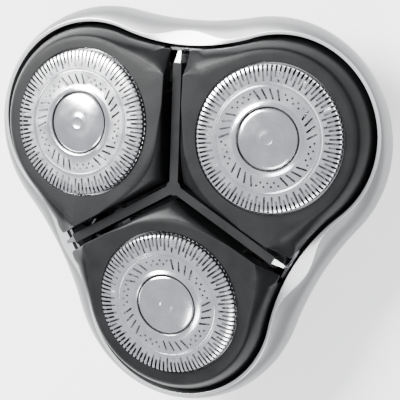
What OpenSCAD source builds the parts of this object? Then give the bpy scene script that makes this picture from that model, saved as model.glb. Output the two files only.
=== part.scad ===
// Three-head rotary shaving unit: a coupling housing with a gear train, and a lift-off frame that
// carries three pivoting dishes, each with a slotted guard and a spinning cutter.

/* [Guards and dishes] */
// Outer radius of each round guard
guard_r = 11.5; // [11.3:0.1:11.6]
// Distance from the unit's axis to the centre of each guard
guard_centre = 18.5; // [18.4:0.1:18.7]
// Height of the plane that holds the three guard centres
guard_z = 21; // [20.8:0.1:21.4]
// Outward tilt of each guard, in degrees
guard_tilt = 7.5; // [7:0.25:8]
// Long hair slots around each guard, with a short slot between each pair
slot_count = 48; // [36:6:54]
// Width of a hair slot
slot_w = 0.28; // [0.2:0.02:0.32]
// How far a guard sinks when it is pressed
guard_travel = 1.2; // [0.8:0.1:1.2]
// Width of the open gap between neighbouring dishes
dish_gap = 3.2; // [3:0.1:3.6]
// Radius of the rounded part of a dish's top edge
dish_r = 13.8; // [13.6:0.1:14]

/* [Housing] */
// Radius of each lobe of the rim
rim_lobe_r = 15.6; // [15.5:0.1:15.8]
// Distance from the unit's axis to the rim at the three waists
rim_waist = 22.2; // [22.1:0.1:22.4]
// Radius of each lobe where the housing is widest
bulge_lobe_r = 19.4; // [19.3:0.1:19.8]
// Distance from the unit's axis to the widest line at the waists
bulge_waist = 26; // [25.8:0.1:26.4]
// Height of the widest line
bulge_z = 12.8; // [12.6:0.1:13]
// Wall thickness of the housing
wall = 1.4; // [1.3:0.1:1.5]
// Depth of the finger scoops in the rim
scoop = 1.65; // [0:0.05:1.8]

/* [Coupling and gears] */
// Radius of the socket that takes the handle's neck
neck_r = 11; // [10.6:0.1:11.2]
// Depth of the neck socket
neck_depth = 5; // [4.6:0.1:5]
// Radius of the socket that takes the handle's drive shaft
shaft_r = 2.5; // [2:0.1:2.8]
// Gear module
gear_module = 0.6; // [0.58:0.01:0.61]
// Teeth on the drive gear
drive_teeth = 30; // [30:6:30]
// Teeth on each driven gear
driven_teeth = 28; // [28:2:28]

/* [Hidden] */
$fn = 64;
eps = 0.01;
lobe_angle = [150, 30, 270];
half_lobe = 60;
rings_n = 72;
bowl_n = 72;
floor_flat_r = 13;
floor_rise = 0.3;

// rim and bulge outlines
rim_d = 18.6;
bulge_d = 16;
rim_land = 0.55;
rim_top = 16.8;
rim_dome = 0.0015;
rim_lip = 1;
scoop_half_angle = 19;
scoop_drop = 0.9;
bowl_base_z = 2;
bowl_base_r = 14.5;
floor_under = neck_depth;
floor_t = 1.2;
floor_z = floor_under + floor_t;

// collar, and the height over which it holds the handle's neck
collar_r = 12.6;
neck_grip = 3.4;
latch_wire = 0.29;
latch_z = 3.4;

// gears
gear_centre = gear_module * (drive_teeth + driven_teeth) / 2;
gear_z = 6.8;
gear_h = 2.6;
hub_r = 4;
hub_z = 4.6;
running = 0.05;
bush_r = 5.2;
pin_r = 1;
pin_top = 8.4;
cup_r = 4.6;
cup_bore = 3.9;
cup_floor = 9;
cup_top = 13.4;
cup_slot = 2.4;
cover_z = 10.2;
cover_t = 1;
cover_hole = 5.2;
screw_ring = 14.5;
post_r = 2.6;

// frame
pivot_x = 9.6;
pivot_z = 15.5;
pivot_r = 0.6;
pivot_ring = pivot_x / cos(half_lobe);
pivot_y = pivot_ring * sin(half_lobe);
pin_start = pivot_y - 5.6;
pin_len = 4.5;
frame_z = 9.4;
frame_t = 1.2;
frame_clear = 1.8;
frame_w = 2;
rib_w = 1.4;
rib_z = 12.6;
rib_top = 19.5;
rib_end = 19.7;
hinge_post_r = 1.7;
post_top = 17.4;
clip_w = 5.4;
clip_r = 21.35;
clip_t = 0.4;
clip_top = 15.8;

// dish and head parts, heights along each guard's own axis
dish_top = -1;
plate_under = -2.4;
hole_clear = 0.3;
collar_in = 13;
collar_out = 13.55;
ring_t = 1;
flange_z = -3;
ring_z = flange_z - guard_travel - 0.2 - ring_t;
skirt_z = 13.6;
skirt_clear = 0.45;
corner_angle = 120;
corner_r = 1.25 * dish_r;
skirt_t = 1.2;
notch_r = 4;
badge_r = 4.95;
guard_t = 0.35;
flange_r = 12.5;
blade_count = 12;
spindle_tip = -(guard_z - 12.65) / cos(guard_tilt);

function mix(a, b, k) = a + (b - a) * k;
function smooth(k) = let (c = min(1, max(0, k))) c * c * (3 - 2 * c);

// angle from the nearest lobe direction, 0 to 60
function off_lobe(phi) =
    let (m = (phi - 30) % 120, n = m < -60 ? m + 120 : m > 60 ? m - 120 : m) abs(n);

// radius of the hollow arc that joins two lobes of radius a, centred d out, and leaves waist w
function hollow_r(d, a, w) = (d * d + w * w - d * w - a * a) / (2 * a - 2 * w + d);

// where the lobe circle meets the hollow arc, in the lobe's frame
function join_point(d, a, w) =
    let (c = hollow_r(d, a, w), e = w + c)
    [d, 0] + a / (a + c) * [e * cos(half_lobe) - d, e * sin(half_lobe)];

// distance from the axis to a three-lobed outline in direction phi
function trefoil(phi, d, a, w) =
    let (f = off_lobe(phi), c = hollow_r(d, a, w), e = w + c, t = join_point(d, a, w))
    f <= atan2(t[1], t[0])
        ? d * cos(f) + sqrt(a * a - pow(d * sin(f), 2))
        : e * cos(half_lobe - f) - sqrt(c * c - pow(e * sin(half_lobe - f), 2));

function trefoil_points(d, a, w) =
    [for (i = [0:rings_n * 2 - 1]) let (phi = i * 180 / rings_n)
        trefoil(phi, d, a, w) * [cos(phi), sin(phi)]];

// faces of a skin through m rings of n points, closed by a flat cap at each end
function skin_faces(n, m) = concat(
    [[for (i = [0:n - 1]) i]],
    [[for (i = [n - 1:-1:0]) (m - 1) * n + i]],
    [for (j = [0:m - 2], i = [0:n - 1]) [j * n + i, (j + 1) * n + i, j * n + (i + 1) % n]],
    [for (j = [0:m - 2], i = [0:n - 1]) [j * n + (i + 1) % n, (j + 1) * n + i, (j + 1) * n + (i + 1) % n]]);

// joins the rings of points in list rings, lowest outer ring first
module skin(rings) {
    n = len(rings[0]);
    polyhedron([for (ring = rings, p = ring) p], skin_faces(n, len(rings)), convexity = 6);
}

module at_lobe(k) {
    rotate([0, 0, lobe_angle[k]]) children();
}

module at_waist(k) {
    rotate([0, 0, lobe_angle[k] + half_lobe]) children();
}

// frame of one guard: origin at its centre, Z along its own axis
module at_guard(k) {
    at_lobe(k) translate([guard_centre, 0, guard_z]) rotate([0, guard_tilt, 0]) children();
}

module tube(outer, inner, z, h) {
    translate([0, 0, z]) difference() {
        cylinder(r = outer, h = h);
        translate([0, 0, -1]) cylinder(r = inner, h = h + 2);
    }
}

// ---------------------------------------------------------------- housing

function rim_z(r) = rim_top - rim_dome * r * r;
function bulge_at(phi) = trefoil(phi, bulge_d, bulge_lobe_r, bulge_waist);
function rim_at(phi) = trefoil(phi, rim_d, rim_lobe_r, rim_waist);
function scoop_at(phi) = smooth(1 - (half_lobe - off_lobe(phi)) / scoop_half_angle);
function rim_edge(phi) = rim_at(phi) + rim_land + scoop * scoop_at(phi);

function polar(phi, r, z) = [r * cos(phi), r * sin(phi), z];

// a point of the bowl's lower skin: t runs from 0 at the base to 90 at the widest line
function lower(phi, t, inset) = polar(phi,
    mix(bowl_base_r, bulge_at(phi), sin(t)) - inset,
    mix(bowl_base_z, bulge_z, 1 - cos(t)));

// a point of the bowl's upper skin: t runs from 0 at the widest line to 90 at the rim
function upper(phi, t) = polar(phi,
    mix(bulge_at(phi), rim_edge(phi), 1 - cos(t)),
    mix(bulge_z, rim_z(rim_at(phi)) - scoop_drop * scoop_at(phi), sin(t)));

// where the inner skin meets the floor, which rises a little towards the wall
function floor_t_angle() = acos(1 - (floor_z + floor_rise - bowl_base_z) / (bulge_z - bowl_base_z));

function bowl_rings() = let (phis = [for (i = [0:bowl_n - 1]) (i + 0.5) * 360 / bowl_n]) concat(
    [for (t = [0:15:75]) [for (p = phis) lower(p, t, 0)]],
    [for (t = [0:22.5:90]) [for (p = phis) upper(p, t)]],
    [[for (p = phis) polar(p, rim_at(p), rim_z(rim_at(p)))]],
    [[for (p = phis) polar(p, rim_at(p), rim_z(rim_at(p)) - rim_lip)]],
    [for (t = [90, 75]) [for (p = phis) lower(p, t, wall)]],
    [[for (p = phis) lower(p, floor_t_angle(), wall)]],
    [[for (p = phis) polar(p, floor_flat_r, floor_z)]]);

module housing_bowl() {
    sunk = 0.5;
    pad = [3.6, 5, frame_z - floor_z + sunk];
    color("silver") difference() {
        union() {
            skin(bowl_rings());
            for (k = [0:2]) {
                at_lobe(k) translate([gear_centre, 0, floor_z - sunk]) cylinder(r = 2.2, h = sunk + 0.2);
                at_waist(k) translate([screw_ring, 0, floor_z - sunk])
                    cylinder(r = post_r, h = cover_z - floor_z + sunk);
                at_waist(k) translate([19.6, -pad[1] / 2, floor_z - sunk]) cube(pad);
            }
        }
        translate([0, 0, bowl_base_z - 1]) cylinder(r = collar_r, h = floor_under - bowl_base_z + 1);
        translate([0, 0, floor_under - 1]) cylinder(r = bush_r, h = 4);
        for (k = [0:2]) {
            at_lobe(k) translate([gear_centre, 0, floor_under + 0.3]) cylinder(r = pin_r, h = 3);
            at_waist(k) translate([screw_ring, 0, floor_z]) cylinder(r = 0.9, h = 6);
        }
    }
}

module coupling_collar() {
    color("dimgray") rotate_extrude() polygon([
        [neck_r, 0], [bowl_base_r - 0.4, 0], [bowl_base_r, 0.4], [bowl_base_r, bowl_base_z],
        [collar_r, bowl_base_z], [collar_r, latch_z - 0.35], [collar_r - 0.65, latch_z - 0.35],
        [collar_r - 0.65, latch_z + 0.35], [collar_r, latch_z + 0.35], [collar_r, neck_depth],
        [neck_r + 0.6, neck_depth], [neck_r + 0.6, neck_grip + 0.6], [neck_r, neck_grip]]);
}

module latch_ring() {
    color("gainsboro") translate([0, 0, latch_z]) rotate_extrude()
        translate([collar_r - latch_wire - 0.02, 0]) circle(r = latch_wire);
}

module drive_bush() {
    color("peru") union() {
        tube(bush_r, hub_r + running, floor_under - 0.2, floor_t + 0.2);
        tube(bush_r + 1, hub_r + running, floor_z, 0.4);
    }
}

module drive_seal() {
    color("black") tube(bush_r + 1.8, bush_r, floor_under - 0.8, 0.8);
}

// ---------------------------------------------------------------- gear train

// angle swept by an involute of base radius b where it reaches radius r, in degrees
function involute(b, r) = let (s = sqrt(r * r / (b * b) - 1)) s * 180 / PI - atan(s);

function gear_points(teeth) =
    let (
        pitch = gear_module * teeth / 2,
        base = pitch * cos(20),
        root = pitch - 1.25 * gear_module,
        tip = pitch + 0.95 * gear_module,
        backlash = 0.06,
        half = 90 / teeth - backlash * 90 / (PI * pitch) + involute(base, pitch),
        flank = [for (i = [0:3]) mix(max(base, root), tip, i / 3)]
    )
    [for (i = [0:teeth - 1]) let (c = i * 360 / teeth) each concat(
        [root * [cos(c - half), sin(c - half)]],
        [for (r = flank) let (a = c - half + involute(base, r)) r * [cos(a), sin(a)]],
        [for (j = [3:-1:0]) let (r = flank[j], a = c + half - involute(base, r)) r * [cos(a), sin(a)]],
        [root * [cos(c + half), sin(c + half)]])];

module gear_disc(teeth) {
    linear_extrude(gear_h) polygon(gear_points(teeth));
}

module drive_gear() {
    keyway = 1;
    color("ivory") difference() {
        union() {
            translate([0, 0, gear_z]) gear_disc(drive_teeth);
            translate([0, 0, hub_z]) cylinder(r = hub_r, h = gear_z - hub_z + eps);
            translate([0, 0, gear_z]) cylinder(r = hub_r, h = gear_h + 0.5);
        }
        translate([0, 0, hub_z - 1]) cylinder(r = shaft_r, h = 5.4);
        for (a = [0, 120, 240]) rotate([0, 0, a])
            translate([0, -keyway / 2, hub_z - 1]) cube([shaft_r + 0.6, keyway, 5.4]);
        for (a = [0:60:300]) rotate([0, 0, a])
            translate([6.2, 0, gear_z - 1]) cylinder(r = 1.1, h = gear_h + 2);
    }
}

module driven_gear(k) {
    color("ivory") at_lobe(k) translate([gear_centre, 0, 0]) difference() {
        union() {
            translate([0, 0, gear_z]) gear_disc(driven_teeth);
            translate([0, 0, gear_z]) cylinder(r = cup_r, h = cup_top - gear_z);
        }
        translate([0, 0, cup_floor]) cylinder(r = cup_bore, h = 6);
        translate([0, 0, gear_z - 1]) cylinder(r = pin_r + running, h = pin_top + 0.2 - gear_z + 1);
        for (a = [0, 120, 240]) rotate([0, 0, a])
            translate([1, -cup_slot / 2, cup_floor + 0.6]) cube([6, cup_slot, 6]);
    }
}

module gear_pin(k) {
    color("silver") at_lobe(k) translate([gear_centre, 0, floor_under + 0.3])
        cylinder(r = pin_r, h = pin_top - floor_under - 0.3);
}

module gear_washers() {
    color("gainsboro") for (k = [0:2])
        at_lobe(k) translate([gear_centre, 0, 0]) tube(2.6, pin_r, floor_z + 0.2, 0.3);
}

module gear_cover() {
    color("gray") translate([0, 0, cover_z]) linear_extrude(cover_t) difference() {
        union() {
            circle(r = screw_ring + 0.7);
            for (k = [0:2]) {
                at_lobe(k) translate([gear_centre, 0]) circle(r = 9.8);
                at_waist(k) translate([screw_ring, 0]) circle(r = post_r);
            }
        }
        for (k = [0:2]) {
            at_lobe(k) translate([gear_centre, 0]) circle(r = cover_hole);
            at_waist(k) translate([screw_ring, 0]) circle(r = 0.9);
        }
    }
}

module cover_screws() {
    head_z = cover_z + cover_t;
    color("silver") for (k = [0:2]) at_waist(k) translate([screw_ring, 0, 0]) difference() {
        union() {
            translate([0, 0, floor_z + 0.4]) cylinder(r = 0.9, h = head_z - floor_z - 0.4 + eps);
            translate([0, 0, head_z]) cylinder(r = 1.9, h = 0.9);
        }
        for (a = [0, 90]) rotate([0, 0, a])
            translate([-1.1, -0.2, head_z + 0.4]) cube([2.2, 0.4, 1]);
    }
}

// a ring of a spring wire: circle of radius w around the helix at angle t
function coil_ring(t, r, pitch, w, sides) = [for (i = [0:sides - 1]) let (a = i * 360 / sides)
    [(r + w * cos(a)) * cos(t), (r + w * cos(a)) * sin(t), pitch * t / 360 + w * sin(a)]];

module coil_spring(k) {
    turns = 3;
    wire = 0.22;
    spring_h = 2.2;
    color("silver") at_lobe(k) translate([gear_centre, 0, cup_floor + wire + 0.02])
        skin([for (t = [0:22.5:turns * 360]) coil_ring(t, 1.6, spring_h / turns, wire, 8)]);
}

// ---------------------------------------------------------------- lift-off frame

module carrier_frame() {
    web = [2.9, 3, 4.7];
    color("dimgray") difference() {
        union() {
            translate([0, 0, frame_z]) linear_extrude(frame_t) difference() {
                polygon(trefoil_points(rim_d, rim_lobe_r - frame_clear, rim_waist - frame_clear));
                polygon(trefoil_points(rim_d, rim_lobe_r - frame_clear - frame_w,
                    rim_waist - frame_clear - frame_w));
            }
            translate([0, 0, rib_z]) cylinder(r = 1.2, h = rib_top - rib_z);
            for (k = [0:2]) at_waist(k) {
                translate([0, -rib_w / 2, rib_z]) cube([rib_end, rib_w, rib_top - rib_z]);
                translate([pivot_ring, 0, frame_z + 0.6])
                    cylinder(r = hinge_post_r, h = post_top - frame_z - 0.6);
                translate([pivot_ring - 1.2, -web[1] / 2, frame_z + 0.3]) cube(web);
            }
        }
        for (k = [0:2], side = [-1, 1]) at_lobe(k) pivot_axis(side)
            cylinder(r = pivot_r, h = pin_len);
    }
}

// frame of one hinge pin: origin at the pin's inner end, Z outward along the hinge line
module pivot_axis(side) {
    translate([pivot_x, side * pin_start, pivot_z]) rotate([-90 * side, 0, 0]) children();
}

module pivot_pins() {
    color("silver") for (k = [0:2], side = [-1, 1])
        at_lobe(k) pivot_axis(side) cylinder(r = pivot_r, h = pin_len);
}

// spring strip inside the rim with two feet on the frame, and a narrow tongue that meets a rib's end
module frame_clips() {
    foot = [2.3, 0.85, clip_t];
    foot_y = clip_w / 2 - foot[1] / 2 - 0.05;
    neck_w = 0.4;
    tongue_w = 0.95;
    neck_top = 18.6;
    color("lightgray") for (k = [0:2]) at_waist(k) union() {
        translate([clip_r, -clip_w / 2, frame_z + frame_t + 0.1])
            cube([clip_t, clip_w, clip_top - frame_z - frame_t - 0.1]);
        for (side = [-1, 1])
            translate([clip_r + 0.2 - foot[0], side * foot_y - foot[1] / 2, frame_z + frame_t]) cube(foot);
        translate([clip_r + 0.05, -neck_w / 2, clip_top - 0.5])
            cube([clip_t - 0.1, neck_w, neck_top - clip_top + 0.5]);
        hull() {
            translate([rib_end, -tongue_w / 2, rib_top - clip_t - 0.1]) cube([0.1, tongue_w, clip_t]);
            translate([clip_r, -neck_w / 2 - 0.05, neck_top - clip_t]) cube([0.2, neck_w + 0.1, clip_t]);
        }
    }
}

// ---------------------------------------------------------------- dishes

// a point given in a guard's own frame, in the frame of its lobe
function tilted(p) = [
    guard_centre + p[0] * cos(guard_tilt) + p[2] * sin(guard_tilt),
    p[1],
    guard_z - p[0] * sin(guard_tilt) + p[2] * cos(guard_tilt)];

// radius of a dish's top edge about the guard's axis: round, with a corner towards each waist
function crease_r(th) =
    let (a = abs(th), tangent = acos(dish_r / corner_r))
    a > corner_angle - tangent && a <= corner_angle ? dish_r / cos(a - corner_angle + tangent)
    : a > corner_angle && a < corner_angle + tangent ? dish_r / cos(corner_angle + tangent - a)
    : dish_r;

// radius of a dish's side wall about the guard's axis: inside the rim, and clear of both gaps
function skirt_r(th, inset) =
    let (
        u = [cos(th), abs(sin(th))],
        t = skirt_clear + inset,
        a = rim_lobe_r - t,
        c = hollow_r(rim_d, rim_lobe_r, rim_waist) + t,
        e = rim_waist - t + c,
        off = rim_d - guard_centre,
        join = join_point(rim_d, a, rim_waist - t) - [guard_centre, 0],
        lobe = off * u[0] + sqrt(a * a - pow(off * u[1], 2)),
        hollow = [e * cos(half_lobe) - guard_centre, e * sin(half_lobe)],
        b = u * hollow,
        disc = b * b - hollow * hollow + c * c,
        arc = disc > 0 ? b - sqrt(disc) : 99,
        rim = acos(u[0]) <= atan2(join[1], join[0]) ? lobe : arc,
        lean = u[1] * cos(half_lobe) - u[0] * sin(half_lobe),
        gap = lean > 0.01 ? (guard_centre * sin(half_lobe) - dish_gap / 2 - inset) / lean : 99
    )
    min(rim, gap);

// rings of one side of a dish's skin, from its lower edge up: inset moves the sides in, top is its flat face
function dish_rings(inset, top_inset, top) =
    let (
        ths = [for (i = [0:rings_n - 1]) -180 + i * 360 / rings_n],
        inner = [for (th = ths) smooth((abs(th) - 60) / 50)]
    )
    [
        [for (th = ths) let (r = skirt_r(th, inset)) [guard_centre + r * cos(th), r * sin(th), skirt_z]],
        [for (i = [0:rings_n - 1]) let (
            th = ths[i],
            cr = crease_r(th) - top_inset,
            sk = skirt_r(th, inset),
            r = mix(cr, sk, mix(0.72, 0.97, inner[i])),
            drop = mix(2.4, max(0.4, (sk - cr) * tan(30)), inner[i]),
            p = tilted([cr * cos(th), cr * sin(th), top]))
            [guard_centre + r * cos(th), r * sin(th), p[2] - drop]],
        [for (th = ths) let (cr = min(crease_r(th) - top_inset, skirt_r(th, inset) - 0.05))
            tilted([cr * cos(th), cr * sin(th), top])]
    ];

// the hollow dish before its lugs are added: open below, with the guard's hole and room for the hinge posts
module dish_shell(k) {
    inside = dish_rings(skirt_t, 0.75, plate_under);
    outside = dish_rings(0, 0, dish_top);
    difference() {
        at_lobe(k) skin(concat([inside[2], inside[1], inside[0]], outside));
        at_guard(k) translate([0, 0, plate_under - 1]) cylinder(r = guard_r + hole_clear, h = 6);
        for (side = [-1, 1]) at_lobe(k) translate([pivot_x, side * pivot_y, skirt_z - 6])
            cylinder(r = notch_r, h = 10.8);
    }
}

module dish(k) {
    lug = [2.4, 1.4, 4.6];
    lug_y = pin_start + 0.1 + lug[1] / 2;
    relief = 0.4;
    color("#2b2c2e") difference() {
        union() {
            dish_shell(k);
            at_guard(k) tube(collar_out, collar_in, ring_z, plate_under - ring_z + 0.5);
            for (side = [-1, 1]) at_lobe(k) translate([pivot_x, side * lug_y, pivot_z]) {
                rotate([90, 0, 0]) cylinder(r = lug[0] / 2, h = lug[1], center = true);
                translate([relief - lug[0] / 2, -lug[1] / 2, 0]) cube([lug[0] - relief, lug[1], lug[2]]);
            }
        }
        for (side = [-1, 1]) at_lobe(k) pivot_axis(side)
            translate([0, 0, -running]) cylinder(r = pivot_r + running, h = pin_len + running);
        // seat of the retaining ring, cut into the side wall where it passes close to the ring
        at_guard(k) translate([0, 0, ring_z - 0.2])
            cylinder(r = collar_in - 0.02, h = plate_under - ring_z + 0.1);
    }
}

module retaining_ring(k) {
    arm = [3.6, 1.6, ring_t];
    color("lightgray") at_guard(k) union() {
        tube(collar_in - running, guard_r - 0.4, ring_z, ring_t);
        for (a = [60, 180, 300]) rotate([0, 0, a])
            translate([collar_in - 0.6 - arm[0], -arm[1] / 2, ring_z]) cube(arm);
    }
}

// ---------------------------------------------------------------- guards and cutters

module guard(k) {
    long_in = 8.8;
    short_in = 9.6;
    color("gainsboro") at_guard(k) difference() {
        rotate_extrude() polygon([
            [badge_r, -1.3], [badge_r + guard_t, -1.3], [badge_r + guard_t, -guard_t],
            [guard_r - guard_t, -guard_t],
            [guard_r - guard_t, flange_z], [flange_r, flange_z], [flange_r, -2.55], [guard_r, -2.55],
            [guard_r, -0.15], [guard_r - 0.15, 0], [8.6, 0], [8.55, 0.15], [8.3, 0.15], [8.25, 0],
            [badge_r + 0.6, 0], [badge_r + 0.3, 0.25], [badge_r, 0.25]]);
        for (i = [0:slot_count - 1]) rotate([0, 0, i * 360 / slot_count]) {
            translate([long_in, -slot_w / 2, -1.2]) cube([4, slot_w, 2]);
            rotate([0, 0, 180 / slot_count]) translate([short_in, -slot_w / 2, -1.2]) cube([4, slot_w, 2]);
        }
        for (g = [0:4], i = [0:3]) rotate([0, 0, g * 72 + i * 9])
            translate([6, -slot_w / 2, -1]) rotate([0, 0, 8]) cube([1.8, slot_w, 2]);
    }
}

module badge(k) {
    color("gainsboro") at_guard(k) rotate_extrude() polygon([
        [0, 0.5], [2.4, 0.42], [4.2, 0.25], [badge_r, 0], [badge_r, -0.3], [2.4, -0.3], [2.4, -2],
        [1.25, -2], [1.25, -0.6], [0, -0.6]]);
}

module cutter_ring(k) {
    blade = [0.35, 2.4];
    color("silver") at_guard(k) union() {
        tube(10.4, 6.2, -2.2, 0.5);
        intersection() {
            tube(guard_r - guard_t - 0.25, 6, -2, 1.55);
            for (i = [0:blade_count - 1]) rotate([0, 0, i * 360 / blade_count]) {
                translate([8.9, 0, -2.2]) rotate([25, 0, 8]) cube([3, blade[0], blade[1]]);
                rotate([0, 0, 180 / blade_count]) translate([6, 0, -2.2]) rotate([25, 0, 8])
                    cube([1.8, blade[0], blade[1]]);
            }
        }
    }
}

module cutter_carrier(k) {
    color("white") at_guard(k) union() {
        difference() {
            translate([0, 0, -3.2]) cylinder(r = 8.4, h = 1);
            for (a = [0:60:300]) rotate([0, 0, a]) translate([5.3, 0, -4]) cylinder(r = 1.3, h = 3);
        }
        translate([0, 0, -3.2]) cylinder(r = 1.2, h = 2.3);
        tube(2.9, 1.5, -4.4, 1.2);
    }
}

module spindle(k) {
    ear_r = 4.3;
    ear = [1, 1.2];
    color("ivory") at_guard(k) union() {
        translate([0, 0, spindle_tip]) cylinder(r = 1.5, h = -3.2 - spindle_tip);
        translate([0, 0, spindle_tip - 0.7]) cylinder(r = 1.9, h = 1.4);
        for (a = [0, 120, 240]) rotate([0, 0, a])
            translate([1, -ear[0] / 2, spindle_tip - ear[1] / 2]) cube([ear_r - 1, ear[0], ear[1]]);
    }
}

housing_bowl();
coupling_collar();
latch_ring();
drive_bush();
drive_seal();
drive_gear();
gear_cover();
cover_screws();
gear_washers();
carrier_frame();
frame_clips();
pivot_pins();
dish(0);  // dish_left
dish(1);  // dish_right
dish(2);  // dish_lower
retaining_ring(0);  // retaining_ring_left
retaining_ring(1);  // retaining_ring_right
retaining_ring(2);  // retaining_ring_lower
guard(0);  // guard_left
guard(1);  // guard_right
guard(2);  // guard_lower
badge(0);  // badge_left
badge(1);  // badge_right
badge(2);  // badge_lower
cutter_ring(0);  // cutter_ring_left
cutter_ring(1);  // cutter_ring_right
cutter_ring(2);  // cutter_ring_lower
cutter_carrier(0);  // cutter_carrier_left
cutter_carrier(1);  // cutter_carrier_right
cutter_carrier(2);  // cutter_carrier_lower
spindle(0);  // spindle_left
spindle(1);  // spindle_right
spindle(2);  // spindle_lower
driven_gear(0);  // driven_gear_left
driven_gear(1);  // driven_gear_right
driven_gear(2);  // driven_gear_lower
gear_pin(0);  // gear_pin_left
gear_pin(1);  // gear_pin_right
gear_pin(2);  // gear_pin_lower
coil_spring(0);  // coil_spring_left
coil_spring(1);  // coil_spring_right
coil_spring(2);  // coil_spring_lower
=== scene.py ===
"""A three-head rotary shaving unit: detailed housing, dishes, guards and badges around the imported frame."""

import math

import bmesh
import bpy
import numpy as np
from mathutils import Matrix, Vector
from mathutils.geometry import delaunay_2d_cdt


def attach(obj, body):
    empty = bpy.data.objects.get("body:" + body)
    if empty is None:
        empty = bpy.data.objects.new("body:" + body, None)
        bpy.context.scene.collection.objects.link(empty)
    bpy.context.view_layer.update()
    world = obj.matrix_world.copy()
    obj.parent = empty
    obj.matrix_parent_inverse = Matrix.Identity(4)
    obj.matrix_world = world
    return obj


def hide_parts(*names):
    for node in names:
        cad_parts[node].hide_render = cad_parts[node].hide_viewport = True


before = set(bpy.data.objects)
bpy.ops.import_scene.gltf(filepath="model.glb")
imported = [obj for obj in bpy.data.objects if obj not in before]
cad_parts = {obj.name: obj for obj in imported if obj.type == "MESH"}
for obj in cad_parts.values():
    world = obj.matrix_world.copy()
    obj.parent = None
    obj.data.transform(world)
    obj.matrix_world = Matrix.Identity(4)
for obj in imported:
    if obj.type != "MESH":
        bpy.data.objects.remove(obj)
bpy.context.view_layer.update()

MM = 0.001
HEADS = {"left": 150.0, "right": 30.0, "lower": 270.0}

# ---------------------------------------------------------------- driving sizes, in millimetres

GUARD_R = 11.5
GUARD_CENTRE = 18.5
GUARD_Z = 21.0
GUARD_TILT = math.radians(7.5)
BADGE_R = 4.95

RIM = (18.6, 15.6, 22.2)
BULGE = (16.0, 19.4, 26.0)
BULGE_Z = 12.8
BASE_R, BASE_Z = 14.5, 2.0
RIM_TOP, RIM_DOME = 16.8, 0.0015
RIM_LAND, RIM_LIP = 0.55, 1.0
SCOOP, SCOOP_DROP, SCOOP_ANGLE = 1.65, 0.9, math.radians(19)
WALL = 1.4
UPPER_SWEEP = 68
FLOOR_UNDER, FLOOR_Z = 5.0, 6.2
FLOOR_R, FLOOR_RISE = 13.0, 0.3
COLLAR_R, BUSH_R = 12.6, 5.2
COVER_Z, SCREW_RING, POST_R = 10.2, 14.5, 2.6
HINGE_X, HINGE_Z = 9.6, 15.5
HINGE_Y = HINGE_X * math.tan(math.radians(60))
PIN_INSET, LUG_PLAY = 5.6, 0.1
LUG_START = HINGE_Y - PIN_INSET + LUG_PLAY
DISH_TOP, PLATE_UNDER, SKIRT_Z = -1.0, -2.4, 13.6
DISH_WALL, DISH_TOP_INSET, HOLE_CLEAR = 0.8, 0.75, 0.3
RING_IN, RING_OUT, RING_FOOT = 13.0, 13.55, -5.4
DISH_R, DISH_GAP, SKIRT_CLEAR = 13.8, 3.2, 0.45
CORNER = math.radians(120)
HALF_LOBE = math.radians(60)


# ---------------------------------------------------------------- camera and studio

def look_through():
    """The camera: the view direction, distance and lens that fit the three round guards."""
    right = Vector((0.9222, 0.0332, -0.3852))
    up = Vector((-0.0947, 0.9854, -0.1418))
    view = right.cross(up)
    up = view.cross(right)
    turn = Matrix((right, up, view)).transposed().to_4x4()
    data = bpy.data.cameras.new("camera")
    data.sensor_width = 36
    data.lens = 181.4
    data.clip_start = 0.01
    camera = bpy.data.objects.new("camera", data)
    bpy.context.collection.objects.link(camera)
    camera.matrix_world = Matrix.Translation((0.12274, 0.05123, 0.30688)) @ turn
    bpy.context.scene.camera = camera


def area_light(name, place, aim, size, power, size_y=None):
    data = bpy.data.lights.new(name, "AREA")
    data.energy = power
    data.size = size
    if size_y:
        data.shape = "RECTANGLE"
        data.size_y = size_y
    lamp = bpy.data.objects.new(name, data)
    bpy.context.collection.objects.link(lamp)
    lamp.location = place
    lamp.rotation_euler = (Vector(aim) - Vector(place)).to_track_quat("-Z", "Y").to_euler()


def studio():
    world = bpy.data.worlds.new("studio")
    world.use_nodes = True
    world.node_tree.nodes["Background"].inputs["Color"].default_value = (0.9, 0.93, 1.0, 1)
    world.node_tree.nodes["Background"].inputs["Strength"].default_value = 0.75
    bpy.context.scene.world = world
    area_light("key", (-0.34, 0.28, 0.42), (0, 0, 0.01), 0.34, 16)
    area_light("front", (0.10, -0.35, 0.40), (0, 0, 0.01), 0.25, 2.0)
    mesh = bpy.data.meshes.new("floor")
    half, sides = 1.5, 64
    ring = [(half * math.cos(2 * math.pi * i / sides), half * math.sin(2 * math.pi * i / sides), -0.0002)
            for i in range(sides)]
    mesh.from_pydata(ring, [], [list(range(sides))])
    floor = bpy.data.objects.new("floor", mesh)
    bpy.context.collection.objects.link(floor)
    paper = plain("floor_paper", (0.97, 0.97, 0.97), rough=0.9)
    # the paper glows a little, which brings the background nearer white
    glow = paper.node_tree.nodes["Principled BSDF"].inputs
    glow["Emission Color"].default_value = (1, 1, 1, 1)
    glow["Emission Strength"].default_value = 0.9
    mesh.materials.append(paper)


# ---------------------------------------------------------------- materials

def plain(name, color, rough=0.5, metal=0.0):
    """A new material with its shader's constant values set, and nothing linked yet."""
    mat = bpy.data.materials.new(name)
    mat.use_nodes = True
    shader = mat.node_tree.nodes["Principled BSDF"]
    shader.inputs["Base Color"].default_value = (*color, 1)
    shader.inputs["Roughness"].default_value = rough
    shader.inputs["Metallic"].default_value = metal
    return mat


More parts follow.
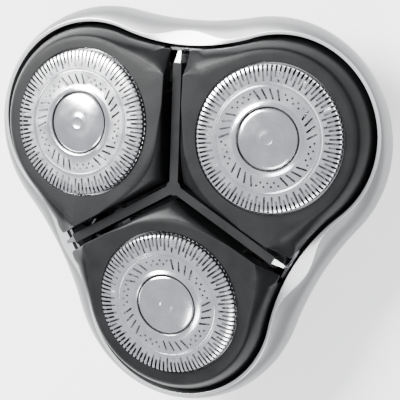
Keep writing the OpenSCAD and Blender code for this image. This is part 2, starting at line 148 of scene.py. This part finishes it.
class Nodes:
    """Short names for adding and linking a material's nodes."""

    def __init__(self, mat):
        self.tree = mat.node_tree
        self.shader = self.tree.nodes["Principled BSDF"]
        self.place = self.tree.nodes.new("ShaderNodeTexCoord").outputs["Object"]

    def add(self, kind, **values):
        node = self.tree.nodes.new(kind)
        for key, value in values.items():
            if hasattr(node, key):
                setattr(node, key, value)
            else:
                node.inputs[key.replace("_", " ")].default_value = value
        return node

    def link(self, a, b):
        self.tree.links.new(a, b)

    def noise(self, scale, detail=3.0, where=None):
        node = self.add("ShaderNodeTexNoise", Scale=scale, Detail=detail)
        self.link(where or self.place, node.inputs["Vector"])
        return node.outputs["Fac"]

    def ramp(self, fac, low, high, lo_at=0.0, hi_at=1.0):
        """fac taken from lo_at..hi_at to the greys low..high."""
        node = self.add("ShaderNodeMapRange")
        for name, value in (("From Min", lo_at), ("From Max", hi_at), ("To Min", low), ("To Max", high)):
            node.inputs[name].default_value = value
        self.link(fac, node.inputs["Value"])
        return node.outputs["Result"]

    def tint(self, fac, dark, light):
        node = self.add("ShaderNodeMix", data_type="RGBA")
        node.inputs["A"].default_value = (*dark, 1)
        node.inputs["B"].default_value = (*light, 1)
        self.link(fac, node.inputs["Factor"])
        self.link(node.outputs["Result"], self.shader.inputs["Base Color"])

    def rough(self, fac, low, high):
        self.link(self.ramp(fac, low, high, 0.3, 0.7), self.shader.inputs["Roughness"])

    def bump(self, *layers):
        """Each layer is (height, depth in metres)."""
        normal = None
        for height, depth in layers:
            node = self.add("ShaderNodeBump", Distance=depth, Strength=1.0)
            self.link(height, node.inputs["Height"])
            if normal:
                self.link(normal, node.inputs["Normal"])
            normal = node.outputs["Normal"]
        self.link(normal, self.shader.inputs["Normal"])

    def math(self, operation, a, b=None):
        node = self.add("ShaderNodeMath", operation=operation)
        for socket, value in zip(node.inputs, (a, b)):
            if value is None:
                continue
            if isinstance(value, (int, float)):
                socket.default_value = value
            else:
                self.link(value, socket)
        return node.outputs[0]


def grained(name, dark, light, grain, depth, rough, metal=0.0, patch=180, coat=0.0, ior=1.5):
    """A moulded or lacquered surface: fine grain, slow patches of colour, roughness that follows the grain.
    """
    mat = plain(name, light, rough[0], metal)
    n = Nodes(mat)
    fine = n.noise(grain, 4)
    slow = n.noise(patch, 2)
    n.tint(n.ramp(slow, 0, 1, 0.35, 0.65), dark, light)
    n.rough(fine, *rough)
    n.bump((fine, depth))
    n.shader.inputs["Coat Weight"].default_value = coat
    n.shader.inputs["Coat Roughness"].default_value = 0.15
    n.shader.inputs["IOR"].default_value = ior
    return mat


def turned_steel(name, dark, light, rough, centre, up, ring_scale, depth):
    """Steel finished in a lathe: fine rings about the axis up through centre."""
    mat = plain(name, light, rough[0], 1.0)
    n = Nodes(mat)
    offset = n.add("ShaderNodeVectorMath", operation="SUBTRACT")
    n.link(n.place, offset.inputs[0])
    offset.inputs[1].default_value = centre
    dot = n.add("ShaderNodeVectorMath", operation="DOT_PRODUCT")
    n.link(offset.outputs["Vector"], dot.inputs[0])
    dot.inputs[1].default_value = up
    length = n.add("ShaderNodeVectorMath", operation="LENGTH")
    n.link(offset.outputs["Vector"], length.inputs[0])
    square = n.math("SUBTRACT", n.math("POWER", length.outputs["Value"], 2.0),
                    n.math("POWER", dot.outputs["Value"], 2.0))
    radius = n.math("SQRT", n.math("MAXIMUM", square, 0.0))
    along = n.add("ShaderNodeCombineXYZ")
    n.link(radius, along.inputs["X"])
    rings = n.noise(ring_scale, 3, along.outputs["Vector"])
    smudge = n.noise(420, 3)
    wear = n.math("ADD", n.math("MULTIPLY", rings, 0.5), n.math("MULTIPLY", smudge, 0.5))
    n.tint(n.ramp(wear, 0, 1, 0.35, 0.65), dark, light)
    n.rough(smudge, *rough)
    n.bump((rings, depth))
    return mat


# ---------------------------------------------------------------- mesh helpers

def new_piece(name, points, faces, mats, sharp=35, face_mats=None):
    """A mesh from points in millimetres, shaded smooth except at edges sharper than that angle."""
    mesh = bpy.data.meshes.new(name)
    mesh.from_pydata([tuple(float(c) * MM for c in p) for p in points], [], faces)
    piece = bpy.data.objects.new(name, mesh)
    bpy.context.collection.objects.link(piece)
    for mat in mats:
        mesh.materials.append(mat)
    if face_mats is not None:
        mesh.polygons.foreach_set("material_index", face_mats)
    finish_mesh(piece, sharp)
    return piece


def finish_mesh(piece, sharp):
    """Merges doubled points, turns the faces outwards and marks the sharp edges."""
    bm = bmesh.new()
    bm.from_mesh(piece.data)
    bmesh.ops.remove_doubles(bm, verts=bm.verts, dist=1e-7)
    bmesh.ops.recalc_face_normals(bm, faces=bm.faces)
    bm.to_mesh(piece.data)
    bm.free()
    piece.data.polygons.foreach_set("use_smooth", [True] * len(piece.data.polygons))
    piece.data.set_sharp_from_angle(angle=math.radians(sharp))


def loop_faces(count, sides, closed=False):
    """Quads between count rings of sides points each."""
    last = count if closed else count - 1
    return [(j * sides + i, j * sides + (i + 1) % sides,
             (j + 1) % count * sides + (i + 1) % sides, (j + 1) % count * sides + i)
            for j in range(last) for i in range(sides)]


def rounded_path(stops, radii, steps=4):
    """Rings through the stops (lists of rings of points) with each corner rounded to its radius."""
    out = [stops[0]]
    for before, corner, after, radius in zip(stops, stops[1:], stops[2:], radii):
        if radius <= 0:
            out.append(corner)
            continue
        back, ahead = before - corner, after - corner
        back_len = np.linalg.norm(back, axis=1, keepdims=True)
        ahead_len = np.linalg.norm(ahead, axis=1, keepdims=True)
        cut = np.minimum(radius, 0.45 * np.minimum(back_len, ahead_len))
        a = corner + back / np.maximum(back_len, 1e-9) * cut
        b = corner + ahead / np.maximum(ahead_len, 1e-9) * cut
        for k in range(steps + 1):
            t = k / steps
            out.append((1 - t) ** 2 * a + 2 * t * (1 - t) * corner + t ** 2 * b)
    out.append(stops[-1])
    return out


def circle(r, z, angles):
    return np.stack([r * np.cos(angles), r * np.sin(angles), np.broadcast_to(z, angles.shape)], 1)


def turn(points, degrees):
    a = math.radians(degrees)
    c, s = math.cos(a), math.sin(a)
    p = np.asarray(points, float)
    return np.stack([c * p[:, 0] - s * p[:, 1], s * p[:, 0] + c * p[:, 1], p[:, 2]], 1)


def tilted(points):
    """From a guard's own frame to the frame of its lobe."""
    p = np.asarray(points, float)
    c, s = math.cos(GUARD_TILT), math.sin(GUARD_TILT)
    x = GUARD_CENTRE + p[:, 0] * c + p[:, 2] * s
    z = GUARD_Z - p[:, 0] * s + p[:, 2] * c
    return np.stack([x, p[:, 1], z], 1)


def smooth(k):
    k = np.clip(k, 0, 1)
    return k * k * (3 - 2 * k)


def mix(a, b, k):
    return a + (b - a) * k


# ---------------------------------------------------------------- outlines

def hollow_r(d, a, w):
    """Radius of the hollow arc that joins two lobes of radius a, centred d out, and leaves waist w."""
    return (d * d + w * w - d * w - a * a) / (2 * a - 2 * w + d)


def join_point(d, a, w):
    c = hollow_r(d, a, w)
    e = w + c
    towards = np.array([e * math.cos(HALF_LOBE) - d, e * math.sin(HALF_LOBE)])
    return np.array([d, 0.0]) + a / (a + c) * towards


def off_lobe(phi):
    """Angle from the nearest lobe direction, 0 to 60 degrees, in radians."""
    step = 2 * HALF_LOBE
    first = math.radians(30)
    return np.abs((phi - first + HALF_LOBE) % step - HALF_LOBE)


def trefoil(phi, outline):
    d, a, w = outline
    f = off_lobe(phi)
    c = hollow_r(d, a, w)
    e = w + c
    t = join_point(d, a, w)
    lobe = d * np.cos(f) + np.sqrt(np.maximum(a * a - (d * np.sin(f)) ** 2, 0))
    g = HALF_LOBE - f
    hollow = e * np.cos(g) - np.sqrt(np.maximum(c * c - (e * np.sin(g)) ** 2, 0))
    return np.where(f <= math.atan2(t[1], t[0]), lobe, hollow)


def crease_r(th):
    """A dish's top edge about the guard's axis: round, with a corner towards each waist."""
    a = np.abs(th)
    tangent = math.acos(1 / 1.25)
    before = DISH_R / np.cos(np.clip(a - CORNER + tangent, 0, tangent))
    after = DISH_R / np.cos(np.clip(CORNER + tangent - a, 0, tangent))
    return np.where(a <= CORNER, before, after)


def skirt_r(th, inset):
    """A dish's side wall about the guard's axis: inside the rim, and clear of both gaps."""
    d, full, w = RIM
    t = SKIRT_CLEAR + inset
    a = full - t
    c = hollow_r(*RIM) + t
    e = w - t + c
    ux, uy = np.cos(th), np.abs(np.sin(th))
    off = d - GUARD_CENTRE
    joint = join_point(d, a, w - t) - np.array([GUARD_CENTRE, 0])
    lobe = off * ux + np.sqrt(a * a - (off * uy) ** 2)
    hx, hy = e * math.cos(HALF_LOBE) - GUARD_CENTRE, e * math.sin(HALF_LOBE)
    b = ux * hx + uy * hy
    disc = b * b - hx * hx - hy * hy + c * c
    arc = np.where(disc > 0, b - np.sqrt(np.maximum(disc, 0)), 99)
    rim = np.where(np.arccos(np.clip(ux, -1, 1)) <= math.atan2(joint[1], joint[0]), lobe, arc)
    lean = uy * math.cos(HALF_LOBE) - ux * math.sin(HALF_LOBE)
    reach = GUARD_CENTRE * math.sin(HALF_LOBE) - DISH_GAP / 2 - inset
    gap = np.where(lean > 0.01, reach / np.maximum(lean, 0.01), 99)
    return np.minimum(rim, gap)


# ---------------------------------------------------------------- housing

def housing(mats):
    """The silver bowl: one skin from its base up the outside, over the rim and down to the inner floor, with
    a painted highlight on the rim land.
    """
    sides = 288
    phi = np.arange(sides) * 2 * math.pi / sides
    bulge, rim = trefoil(phi, BULGE), trefoil(phi, RIM)
    rim_z = RIM_TOP - RIM_DOME * rim ** 2
    scoop = smooth(1 - (HALF_LOBE - off_lobe(phi)) / SCOOP_ANGLE)
    edge, edge_z = rim + RIM_LAND + SCOOP * scoop, rim_z - SCOOP_DROP * scoop

    def lower(t, inset):
        return circle(mix(BASE_R, bulge, math.sin(t)) - inset, mix(BASE_Z, BULGE_Z, 1 - math.cos(t)), phi)

    lean = math.radians(UPPER_SWEEP)

    def upper(t):
        across = (1 - math.cos(t)) / (1 - math.cos(lean))
        return circle(mix(bulge, edge, across), mix(BULGE_Z, edge_z, math.sin(t) / math.sin(lean)), phi)

    outside = [circle(COLLAR_R, FLOOR_UNDER, phi), circle(COLLAR_R, BASE_Z, phi)]
    outside += [lower(math.radians(t), 0) for t in range(0, 90, 6)]
    outside += [upper(math.radians(t)) for t in np.linspace(0, UPPER_SWEEP, 14)]
    stops = [outside[-2], outside[-1], circle(rim, rim_z, phi), circle(rim, rim_z - RIM_LIP, phi)]
    land = rounded_path(stops, [0.12, 0.12])
    land_from, land_to = len(outside) - 1, len(outside) - 1 + len(land) - 3
    inside = [lower(math.radians(t), WALL) for t in (90, 82, 75, 68)]
    floor_t = math.acos(1 - (FLOOR_Z + FLOOR_RISE - BASE_Z) / (BULGE_Z - BASE_Z))
    inside += [lower(floor_t, WALL), circle(FLOOR_R, FLOOR_Z, phi), circle(BUSH_R, FLOOR_Z, phi),
               circle(BUSH_R, FLOOR_UNDER, phi)]
    rings = outside[:-1] + land[1:] + inside
    faces = loop_faces(len(rings), sides, closed=True)
    # the rim land faces take slot 1, a lighter copy of the silver lacquer: a painted highlight where the rim
    # faces the light
    slots = [1 if land_from <= k // sides < land_to else 0 for k in range(len(faces))]
    points = np.concatenate(rings)
    bowl = new_piece("housing_shell", points, faces, mats, sharp=32, face_mats=slots)
    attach(bowl, "housing")
    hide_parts("housing_bowl")
    fittings(mats[0])


def fittings(mat):
    """Screw posts and frame pads that stand on the floor of the bowl."""
    bm = bmesh.new()
    for angle in HEADS.values():
        spin = Matrix.Rotation(math.radians(angle + 60), 4, "Z")
        post_h = COVER_Z - FLOOR_Z + 0.3
        post = bmesh.ops.create_cone(bm, cap_ends=True, segments=48, radius1=POST_R + 0.15, radius2=POST_R,
                                     depth=post_h)["verts"]
        stand = spin @ Matrix.Translation((SCREW_RING, 0, COVER_Z - post_h / 2))
        bmesh.ops.transform(bm, matrix=stand, verts=post)
        pad = bmesh.ops.create_cube(bm, size=1)["verts"]
        size = Matrix.Diagonal((3.6, 5, 3.5, 1))
        bmesh.ops.transform(bm, matrix=spin @ Matrix.Translation((21.4, 0, 7.65)) @ size, verts=pad)
    bmesh.ops.scale(bm, vec=(MM, MM, MM), verts=bm.verts)
    mesh = bpy.data.meshes.new("housing_posts")
    bm.to_mesh(mesh)
    bm.free()
    posts = bpy.data.objects.new("housing_posts", mesh)
    bpy.context.collection.objects.link(posts)
    mesh.materials.append(mat)
    finish_mesh(posts, 35)
    bevel(posts, 0.15)
    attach(posts, "housing")


def bevel(piece, width, segments=2, angle=30):
    mod = piece.modifiers.new("soft_edges", "BEVEL")
    mod.width = width * MM
    mod.segments = segments
    mod.limit_method = "ANGLE"
    mod.angle_limit = math.radians(angle)
    mod.harden_normals = True


# ---------------------------------------------------------------- dishes

def dish_path(th, inset, top_inset, top):
    """Rings of one side of a dish's skin: top edge, shoulder, and lower edge."""
    inner = smooth((np.abs(th) - math.radians(60)) / math.radians(50))
    skirt = skirt_r(th, inset)
    crease = np.minimum(crease_r(th) - top_inset, skirt - 0.05)
    shoulder = mix(crease, skirt, mix(0.72, 0.97, inner))
    drop = mix(2.4, np.maximum(0.4, (skirt - crease) * math.tan(math.radians(30))), inner)
    top_ring = tilted(circle(crease, top, th))
    x, y = GUARD_CENTRE + shoulder * np.cos(th), shoulder * np.sin(th)
    shoulder_ring = np.stack([x, y, top_ring[:, 2] - drop], 1)
    x, y = GUARD_CENTRE + skirt * np.cos(th), skirt * np.sin(th)
    near = np.hypot(x - HINGE_X, np.abs(y) - HINGE_Y)
    low = mix(18.4, SKIRT_Z, smooth((near - 4.0) / 0.5))
    low = np.minimum(low, shoulder_ring[:, 2] - 0.3)
    return top_ring, shoulder_ring, np.stack([x, y, low], 1)


def dish(name, angle, mats):
    sides = 360
    th = -math.pi + (np.arange(sides) + 0.5) * 2 * math.pi / sides
    hole = GUARD_R + HOLE_CLEAR
    out_top, out_shoulder, out_low = dish_path(th, 0, 0, DISH_TOP)
    in_top, in_shoulder, in_low = dish_path(th, DISH_WALL, DISH_TOP_INSET, PLATE_UNDER)
    in_low[:, 2] = out_low[:, 2]
    hole_top, hole_low = tilted(circle(hole, DISH_TOP, th)), tilted(circle(hole, PLATE_UNDER, th))
    collar_profile = ((RING_IN, PLATE_UNDER), (RING_IN, RING_FOOT), (RING_OUT, RING_FOOT),
                      (RING_OUT, PLATE_UNDER - 0.02))
    collar = [tilted(circle(r, z, th)) for r, z in collar_profile]
    mid = tilted(circle(hole + 0.15, DISH_TOP, th))
    stops = [mid, out_top, out_shoulder, out_low, in_low, in_shoulder, in_top] + collar[::-1] + [
        hole_low, hole_top, mid]
    radii = [1.6, 2.0, 0.2, 0.2, 0, 0] + [0, 0.1, 0.1, 0] + [0.15, 0.12]
    rings = rounded_path(stops, radii)
    rings = rings[:-1]
    faces = loop_faces(len(rings), sides, closed=True)
    top_rings = 3
    slots = [0 if k // sides < top_rings or k // sides >= len(rings) - 2 else 1 for k in range(len(faces))]
    piece = new_piece("dish_shell_" + name, turn(np.concatenate(rings), angle), faces, mats, sharp=30,
                      face_mats=slots)
    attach(piece, "dish_" + name)
    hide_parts("dish_" + name)
    lugs("dish_lugs_" + name, angle, mats[1], "dish_" + name)


def lugs(name, angle, mat, body):
    """The two ears under a dish that turn on the hinge pins."""
    bm = bmesh.new()
    width, thick, tall, arc = 2.4, 1.4, 4.4, 12
    turns = [math.pi + math.pi * k / arc for k in range(arc + 1)]
    outline = [(width / 2 * math.cos(t), width / 2 * math.sin(t)) for t in turns] + [
        (width / 2, tall), (0.4 - width / 2, tall), (0.4 - width / 2, 0.3)]
    bore = [(0.65 * math.cos(2 * math.pi * k / 24), 0.65 * math.sin(2 * math.pi * k / 24)) for k in range(24)]
    flat, tris = filled([outline], [bore])
    for side in (-1, 1):
        near, far = [], []
        for x, z in flat:
            near.append(bm.verts.new((HINGE_X + x, side * LUG_START, HINGE_Z + z)))
            far.append(bm.verts.new((HINGE_X + x, side * (LUG_START + thick), HINGE_Z + z)))
        for tri in tris:
            bm.faces.new([near[i] for i in tri])
            bm.faces.new([far[i] for i in reversed(tri)])
        for ring_start, count in ((0, len(outline)), (len(outline), len(bore))):
            for k in range(count):
                i, j = ring_start + k, ring_start + (k + 1) % count
                bm.faces.new((near[i], near[j], far[j], far[i]))
    bmesh.ops.rotate(bm, verts=bm.verts, matrix=Matrix.Rotation(math.radians(angle), 3, "Z"))
    bmesh.ops.scale(bm, vec=(MM, MM, MM), verts=bm.verts)
    mesh = bpy.data.meshes.new(name)
    bm.to_mesh(mesh)
    bm.free()
    piece = bpy.data.objects.new(name, mesh)
    bpy.context.collection.objects.link(piece)
    mesh.materials.append(mat)
    finish_mesh(piece, 35)
    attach(piece, body)


# ---------------------------------------------------------------- guards

def filled(outers, holes):
    """Points and triangles of the flat region inside the outer loops and outside the holes."""
    points, edges, loops = [], [], []
    for loop in outers + holes:
        first = len(points)
        points += [Vector(p) for p in loop]
        loops.append(list(range(first, len(points))))
        edges += [(first + k, first + (k + 1) % len(loop)) for k in range(len(loop))]
    verts, _, tris, _, _, _ = delaunay_2d_cdt(points, edges, [], 0, 1e-7)
    hole_loops = [np.array(h) for h in holes]
    outer_loops = [np.array(o) for o in outers]
    kept = []
    for tri in tris:
        c = sum((verts[i] for i in tri), Vector((0, 0))) / len(tri)
        if any(inside(c, o) for o in outer_loops) and not any(inside(c, h) for h in hole_loops):
            kept.append(tuple(tri))
    return [tuple(v) for v in verts], kept


def inside(p, loop):
    x, y = loop[:, 0], loop[:, 1]
    x2, y2 = np.roll(x, -1), np.roll(y, -1)
    with np.errstate(divide="ignore", invalid="ignore"):
        crosses = ((y > p[1]) != (y2 > p[1])) & (p[0] < (x2 - x) * (p[1] - y) / (y2 - y) + x)
    return bool(crosses.sum() % 2)


SLOTS = 96
SLOT_W = 0.34
INNER_SLOT_W, PINHOLE_R = 0.32, 0.19
TRACK_IN, TRACK_OUT = 5.78, 8.12
RIDGE = (8.28, 8.36, 8.56, 8.66)
LONG_IN, SHORT_IN = 8.9, 9.6
GUARD_THICK = 0.10
GROUPS = 5


def slot_angles(r):
    """The two edges of every slot at radius r, so that each slot keeps its width."""
    middle = np.arange(SLOTS) * 2 * math.pi / SLOTS
    half = math.asin(SLOT_W / 2 / r)
    return np.stack([middle - half, middle, middle + half, middle + math.pi / SLOTS], 1).ravel()


def slanted_slot(r0, r1, angle, lean, width, ends=5):
    """Outline of a slot with round ends from radius r0 to r1, leaning over by an angle."""
    a0, a1 = angle - lean / 2, angle + lean / 2
    p0 = np.array([r0 * math.cos(a0), r0 * math.sin(a0)])
    p1 = np.array([r1 * math.cos(a1), r1 * math.sin(a1)])
    along = math.atan2(*(p1 - p0)[::-1])
    turns = [math.pi * k / ends - math.pi / 2 for k in range(ends + 1)]
    far = [p1 + width / 2 * np.array([math.cos(along + t), math.sin(along + t)]) for t in turns]
    near = [p0 + width / 2 * np.array([math.cos(along + t + math.pi), math.sin(along + t + math.pi)])
            for t in turns]
    return [tuple(p) for p in far + near]


def track_openings(turned):
    """Inner track: groups of slanted slots, with a zigzag of round holes between them."""
    step = 2 * math.pi / GROUPS
    loops = []
    for g in range(GROUPS):
        middle = turned + g * step
        for k in range(4):
            slot_at = middle + (k - 1.5) * math.radians(9.5)
            loops.append(slanted_slot(6.25, 7.65, slot_at, math.radians(5), INNER_SLOT_W))
        for k in range(7):
            a = middle + step / 2 + (k - 3) * math.radians(4.6)
            r = 6.75 if k % 2 else 7.35
            loops.append([(r * math.cos(a) + PINHOLE_R * math.cos(t),
                           r * math.sin(a) + PINHOLE_R * math.sin(t))
                          for t in np.arange(8) * math.pi / 4])
    return loops


def guard(name, angle, turned, mats):
    """The slotted steel cap: collar and inner track, ridge, outer track and side wall, as one thin skin."""
    columns = slot_angles(1.0 * GUARD_R)
    count = len(columns)
    points, faces, slots = [], [], []

    def ring(r, z, angles):
        start = len(points)
        points.extend(circle(r, z, angles).tolist())
        return start

    def join(a, b, mat, open_slots=None):
        for i in range(count):
            j = (i + 1) % count
            if open_slots and i % 4 in (0, 1) and open_slots(i // 4):
                continue
            faces.append((a + i, a + j, b + j, b + i))
            slots.append(mat)

    collar = [ring(r, z, columns) for r, z in
              ((BADGE_R + 0.04, -1.2), (BADGE_R + 0.04, 0.10), (BADGE_R + 0.14, 0.24), (BADGE_R + 0.30, 0.26),
               (BADGE_R + 0.72, 0.06), (TRACK_IN, 0.02))]
    for a, b in zip(collar, collar[1:]):
        join(a, b, 1)
    first = len(points)
    inner_loop = [tuple(p[:2]) for p in circle(TRACK_IN, 0, columns)]
    outer_loop = [tuple(p[:2]) for p in circle(TRACK_OUT, 0, columns)]
    flat, tris = filled([outer_loop], [inner_loop] + track_openings(turned))
    points.extend([(x, y, 0.02) for x, y in flat])
    faces.extend([tuple(first + i for i in tri) for tri in tris])
    slots.extend([0] * len(tris))
    ridge = [ring(r, z, columns) for r, z in
             ((TRACK_OUT, 0.02), (TRACK_OUT + 0.08, -0.10), (RIDGE[0], 0.0), (RIDGE[1], 0.14),
              (RIDGE[2], 0.14), (RIDGE[3], 0.02))]
    for a, b in zip(ridge, ridge[1:]):
        join(a, b, 1)
    profile = [(RIDGE[3], 0.02, False), (LONG_IN, 0.02, False), (SHORT_IN, 0.02, True), (10.4, 0.0, True),
               (11.0, -0.06, True), (11.32, -0.20, True), (11.47, -0.42, True), (GUARD_R, -0.8, True),
               (GUARD_R, -1.15, True), (GUARD_R, -2.55, False), (12.4, -2.6, False), (12.4, -2.9, False)]
    rows = [ring(r, z, slot_angles(r)) for r, z, _ in profile]
    for k, (a, b) in enumerate(zip(rows, rows[1:])):
        r_in = profile[k][0]
        if k in (0, 9, 10):
            join(a, b, 0)
        elif r_in < SHORT_IN:
            join(a, b, 0, lambda i: i % 2 == 0)
        elif k == 8:
            join(a, b, 0)
        else:
            join(a, b, 0, lambda i: True)
    placed = turn(tilted(points), angle)
    piece = new_piece("guard_cap_" + name, placed, faces, mats, sharp=28, face_mats=slots)
    thicken(piece, GUARD_THICK)
    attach(piece, "guard_" + name)
    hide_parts("guard_" + name)


def thicken(piece, thickness):
    """Gives a thin skin its thickness on the inner side, with crisp edges at every slot."""
    mod = piece.modifiers.new("thickness", "SOLIDIFY")
    mod.thickness = thickness * MM
    mod.offset = -1
    mod.use_even_offset = False
    split = piece.modifiers.new("crisp_edges", "EDGE_SPLIT")
    split.split_angle = math.radians(28)


def badge(name, angle, mats):
    """The polished disc: a low dome with turned steps and a dimple, its side wall in the groove painted dark
    as shade.
    """
    sides = 96
    th = np.arange(sides) * 2 * math.pi / sides
    profile = [(0.0, 0.44), (0.5, 0.445), (0.8, 0.46), (0.9, 0.50), (1.0, 0.50), (1.1, 0.47), (1.9, 0.45),
               (2.6, 0.42), (3.3, 0.36), (4.0, 0.27), (4.4, 0.19), (4.6, 0.12), (4.70, 0.02),
               (4.72, -0.35), (4.93, -0.36), (4.93, -0.5), (2.4, -0.5), (2.4, -2.0), (1.25, -2.0),
               (1.25, -0.6), (0.0, -0.6)]
    # rings 12 to 15, the disc's side wall and step in the groove, take slot 1: a dark material, painted shade
    # in the gap around the disc
    groove_painted_shade = (12, 15)
    rings = [circle(max(r, 0.001), z, th) for r, z in profile]
    faces = loop_faces(len(rings), sides)
    slots = [1 if groove_painted_shade[0] <= k // sides < groove_painted_shade[1] else 0 for k in range(len(faces))] + [0, 0]
    faces += [tuple(range(sides))[::-1], tuple((len(rings) - 1) * sides + i for i in range(sides))]
    piece = new_piece("badge_disc_" + name, turn(tilted(np.concatenate(rings)), angle), faces, mats, sharp=30,
                      face_mats=slots)
    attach(piece, "guard_" + name)
    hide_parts("badge_" + name)


# ---------------------------------------------------------------- the whole unit

def guard_axis(angle):
    """Centre and direction of a guard's axis in metres, in the shared frame."""
    centre, above = turn(tilted([(0, 0, 0), (0, 0, 1)]), angle)
    return tuple(centre * MM), tuple(above - centre)


def dress(node, mat, width=0.06):
    """Gives a CAD node its material, and rounds its edges a little."""
    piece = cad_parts[node]
    piece.data.materials.clear()
    piece.data.materials.append(mat)
    if width:
        bevel(piece, width)


def looks():
    """One material for each kind of surface."""
    return {
        "silver": grained("silver_lacquer", (0.17, 0.172, 0.175), (0.22, 0.222, 0.225), 9000, 0.000004,
                          (0.34, 0.46), metal=0.35, patch=60, coat=0.15),
        # lighter copy of the silver lacquer for the rim land: a painted highlight
        "rim_painted_highlight": grained("rim_painted_highlight", (0.50, 0.505, 0.51), (0.60, 0.605, 0.61), 9000, 0.000003,
                              (0.22, 0.32), metal=0.4, patch=60, coat=0.3),
        "dish_face": grained("dish_textured", (0.006, 0.0062, 0.0065), (0.010, 0.0102, 0.0105), 5200, 0.00003,
                             (0.44, 0.60), patch=240, ior=1.30),
        "dish_side": grained("dish_gloss", (0.004, 0.0042, 0.0045), (0.007, 0.0072, 0.0075), 4200, 0.000008,
                             (0.28, 0.38), patch=240, ior=1.24),
        # near-black for the badge's side wall in the groove: painted shade
        "groove_painted_shade": grained("badge_groove", (0.03, 0.03, 0.031), (0.05, 0.05, 0.052), 5200, 0.000006,
                          (0.4, 0.55), metal=0.4, patch=500),
        "frame": grained("frame_plastic", (0.007, 0.0072, 0.0075), (0.011, 0.0112, 0.0115), 5000, 0.00002,
                         (0.38, 0.5), patch=300, ior=1.34),
        "collar": grained("collar_plastic", (0.045, 0.046, 0.048), (0.06, 0.061, 0.063), 4500, 0.00003,
                          (0.45, 0.6), patch=300),
        "cover": grained("cover_plastic", (0.10, 0.105, 0.11), (0.14, 0.145, 0.15), 4500, 0.00002,
                         (0.4, 0.55)),
        "retainer": grained("retainer_plastic", (0.36, 0.37, 0.38), (0.44, 0.45, 0.46), 4500, 0.00002,
                            (0.4, 0.5)),
        "acetal": grained("acetal", (0.72, 0.69, 0.60), (0.80, 0.78, 0.70), 5200, 0.00001, (0.32, 0.45)),
        "nylon": grained("nylon", (0.70, 0.70, 0.68), (0.80, 0.80, 0.78), 5200, 0.00001, (0.35, 0.5)),
        "rubber": grained("rubber", (0.012, 0.012, 0.012), (0.022, 0.022, 0.022), 6000, 0.00003, (0.6, 0.8)),
        "bronze": grained("sintered_bronze", (0.42, 0.27, 0.13), (0.58, 0.40, 0.22), 9000, 0.00004,
                          (0.35, 0.5), metal=1.0),
        "steel": grained("steel", (0.44, 0.44, 0.45), (0.62, 0.62, 0.63), 7000, 0.000006,
                         (0.22, 0.36), metal=1.0, patch=500),
        "blade": grained("blade_steel", (0.50, 0.50, 0.51), (0.66, 0.66, 0.67), 9000, 0.000008, (0.18, 0.32),
                         metal=1.0, patch=900),
    }


def build():
    look_through()
    studio()
    mat = looks()
    housing([mat["silver"], mat["rim_painted_highlight"]])
    for turned, (head, angle) in zip((0.4, 1.1, 0.2), HEADS.items()):
        centre, up = guard_axis(angle)
        cap = turned_steel("guard_steel_" + head, (0.80, 0.80, 0.81), (0.92, 0.92, 0.93), (0.18, 0.26),
                           centre, up, 5200, 0.000003)
        ridge = turned_steel("guard_ridge_" + head, (0.80, 0.80, 0.81), (0.90, 0.90, 0.91), (0.14, 0.22),
                             centre, up, 5200, 0.000003)
        disc = turned_steel("badge_steel_" + head, (0.72, 0.72, 0.73), (0.84, 0.84, 0.85), (0.12, 0.20),
                            centre, up, 3600, 0.000002)
        dish(head, angle, [mat["dish_face"], mat["dish_side"]])
        guard(head, angle, turned, [cap, ridge])
        badge(head, angle, [disc, mat["groove_painted_shade"]])
        for kind, look in (("retaining_ring", "retainer"), ("cutter_carrier", "nylon"), ("spindle", "acetal"),
                           ("driven_gear", "acetal"), ("cutter_ring", "blade"), ("gear_pin", "steel")):
            dress(f"{kind}_{head}", mat[look], 0.05)
        dress("coil_spring_" + head, mat["steel"], 0)
    for node, look, width in (
            ("coupling_collar", "collar", 0.1), ("latch_ring", "steel", 0), ("drive_bush", "bronze", 0.08),
            ("drive_seal", "rubber", 0.1), ("drive_gear", "acetal", 0.05), ("gear_cover", "cover", 0.15),
            ("cover_screws", "steel", 0.08), ("gear_washers", "steel", 0.04),
            ("carrier_frame", "frame", 0.12), ("frame_clips", "steel", 0.06), ("pivot_pins", "steel", 0.06)):
        dress(node, mat[look], width)


build()
